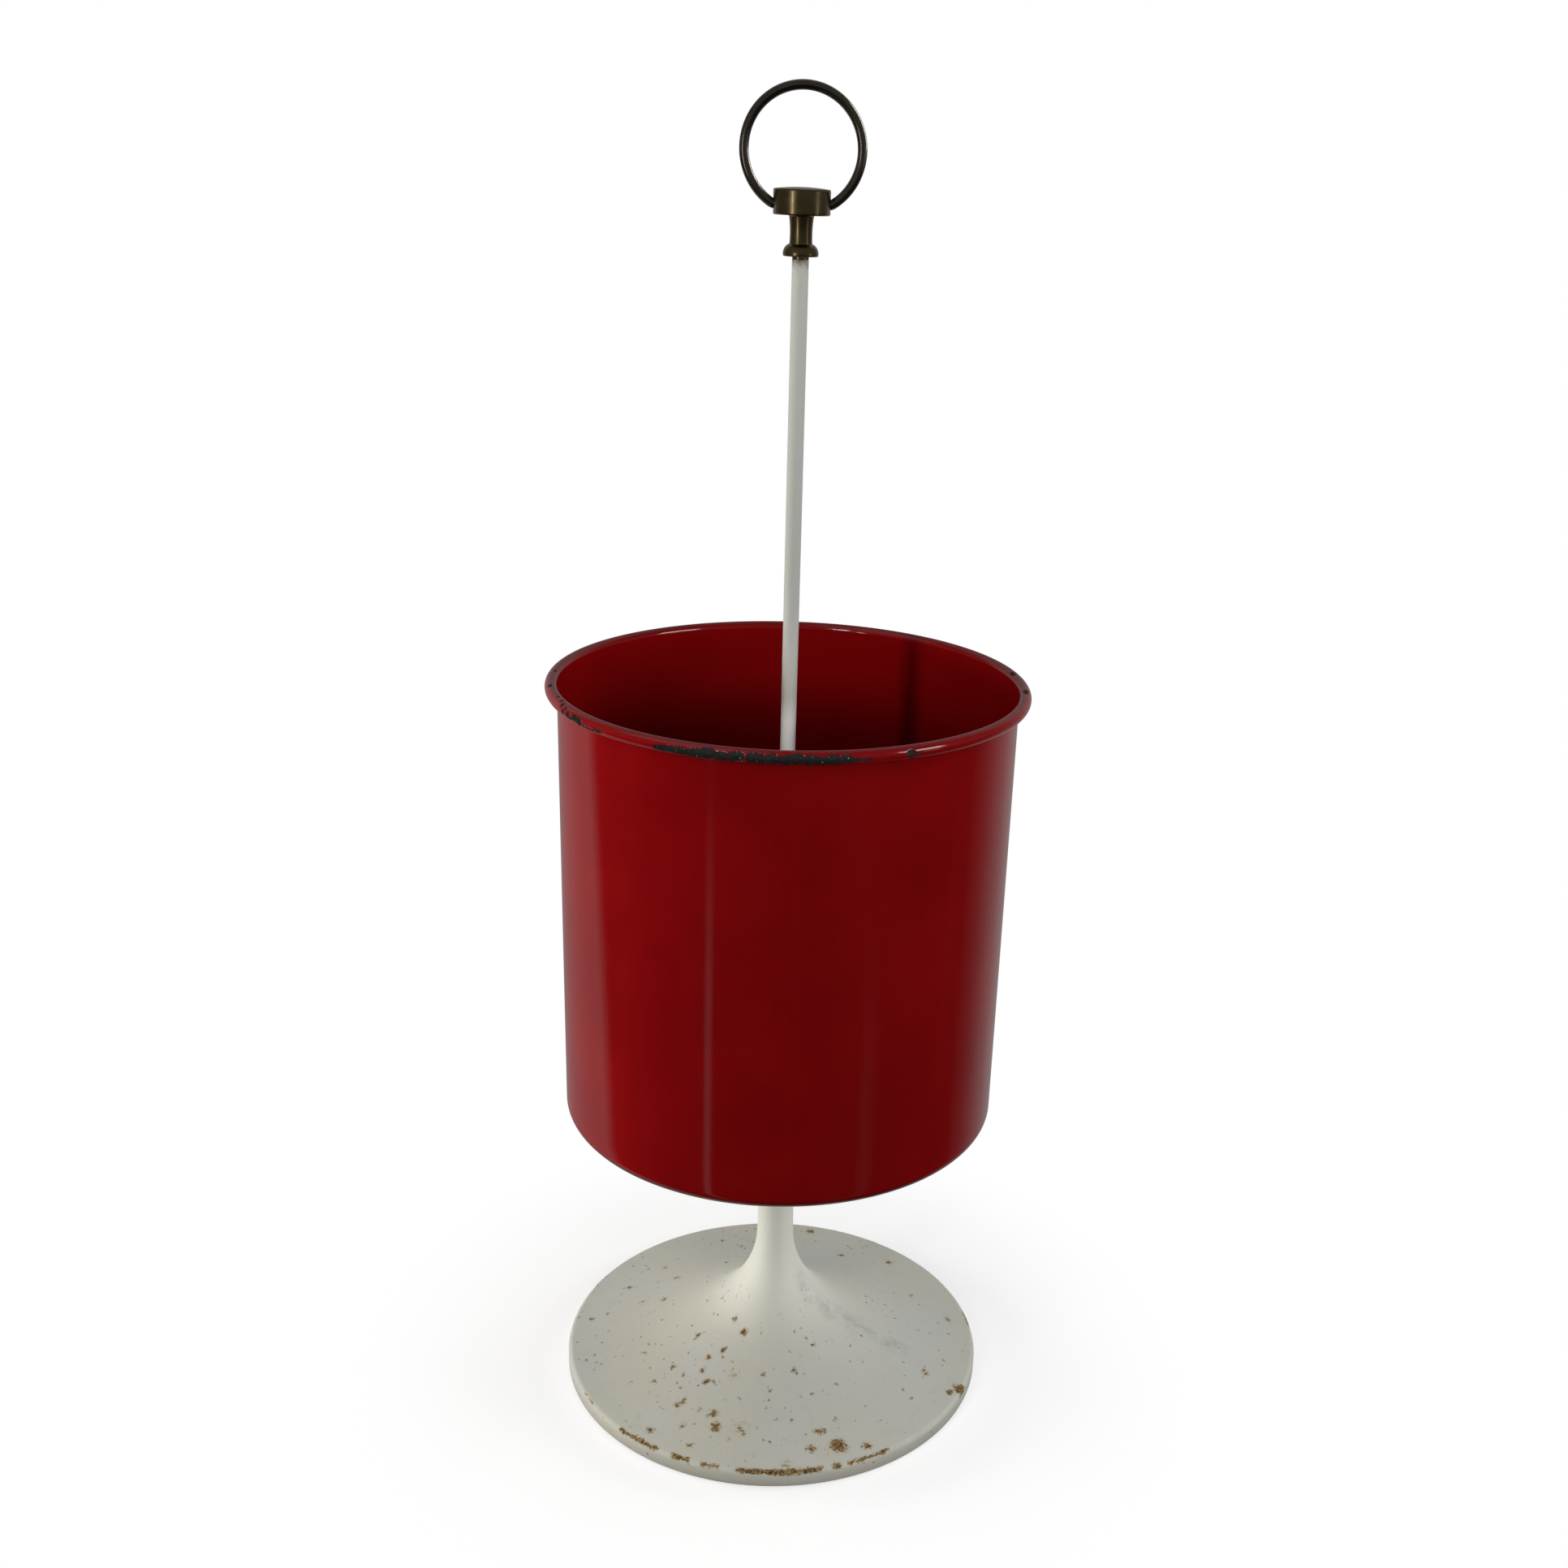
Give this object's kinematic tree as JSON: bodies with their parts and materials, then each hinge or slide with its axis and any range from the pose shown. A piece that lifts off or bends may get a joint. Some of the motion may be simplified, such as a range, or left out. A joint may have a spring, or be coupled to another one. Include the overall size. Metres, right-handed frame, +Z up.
{
  "type": "umbrella stand",
  "caption": "Umbrella stand: enamelled pail clamped on a cast tulip foot by a central rod that ends in a tipping brass carrying ring.",
  "frame": {"origin": "on the floor, under the centre of the foot", "axes": "+Z up along the rod; the carrying ring stands in the XZ plane and tips about an axis parallel to X"},
  "size_m": [0.25, 0.25, 0.7017],
  "materials": {
    "foot_lacquer": "satin off-white lacquer over cast iron, with rust specks",
    "rod_lacquer": "satin off-white lacquer on steel",
    "red_enamel": "glossy red enamel on steel, chipped at the rim",
    "aged_brass": "dark aged brass",
    "zinc_steel": "dull zinc",
    "black_rubber": "matt",
    "felt": "pressed felt"
  },
  "bodies": {
    "stand": {"foot_casting": "foot_lacquer", "foot_felt_ring": "felt", "stem_rod": "rod_lacquer", "hub_washer": "zinc_steel", "spring_washers": "zinc_steel", "hex_nuts": "zinc_steel", "seat_gasket": "black_rubber", "pail": "red_enamel", "floor_seal": "black_rubber", "floor_washer": "zinc_steel", "finial_ferrule": "aged_brass", "finial_neck": "aged_brass", "finial_head": "aged_brass"},
    "ring": {"handle_ring": "aged_brass"}
  },
  "joints": [
    {"name": "ring_tip", "type": "hinge", "parent": "stand", "child": "ring", "pos_m": [0, 0, 0.6481], "axis": [1, 0, 0], "range_deg": [-170, 170]}
  ]
}
